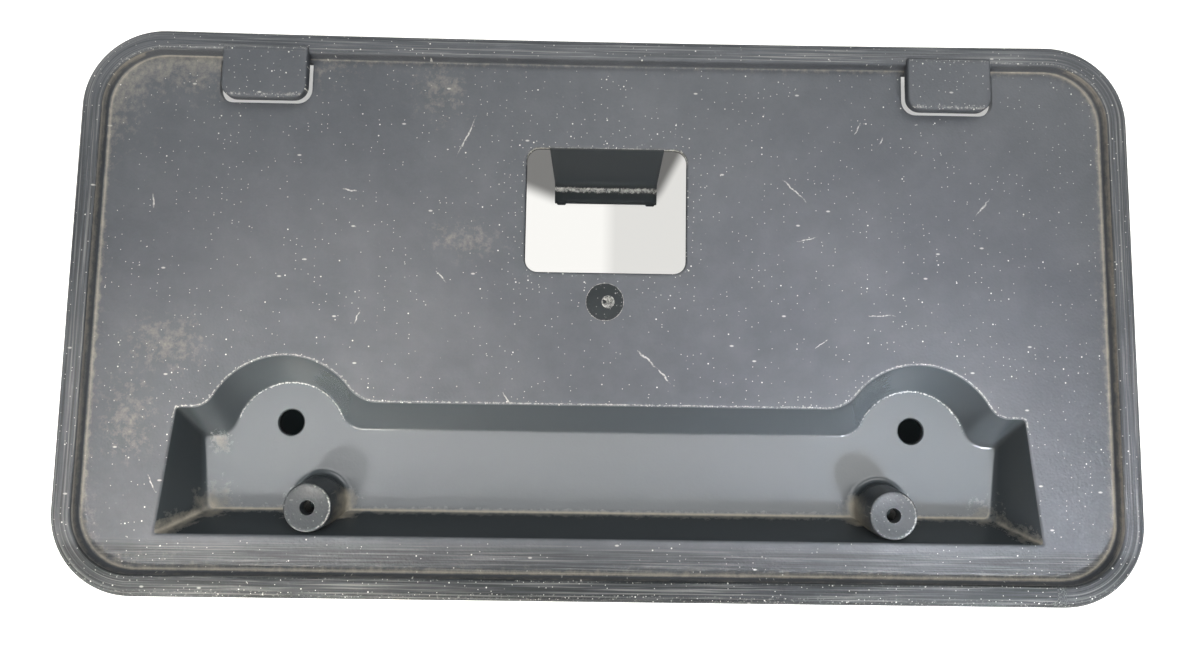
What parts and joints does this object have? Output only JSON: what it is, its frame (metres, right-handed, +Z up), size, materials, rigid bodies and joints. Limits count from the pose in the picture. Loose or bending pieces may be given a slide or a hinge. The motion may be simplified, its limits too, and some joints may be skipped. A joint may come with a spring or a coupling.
{
  "type": "number plate holder",
  "caption": "Moulded plastic holder for a vehicle number plate, with a raised rim, top hook lugs, a window with a rear tongue and a recess for the fixing screws.",
  "frame": {"origin": "half way between the two bumper fixing holes, on the rear mounting face of the recess", "axes": "+Z up as fixed on a bumper, X along the width, the front that carries the plate faces -Y"},
  "size_m": [0.3284, 0.0246, 0.1738],
  "materials": {
    "moulded_plastic": "fine moulded grain, worn and dusty"
  },
  "bodies": {
    "root": {"plate_holder": "moulded_plastic"}
  },
  "joints": []
}
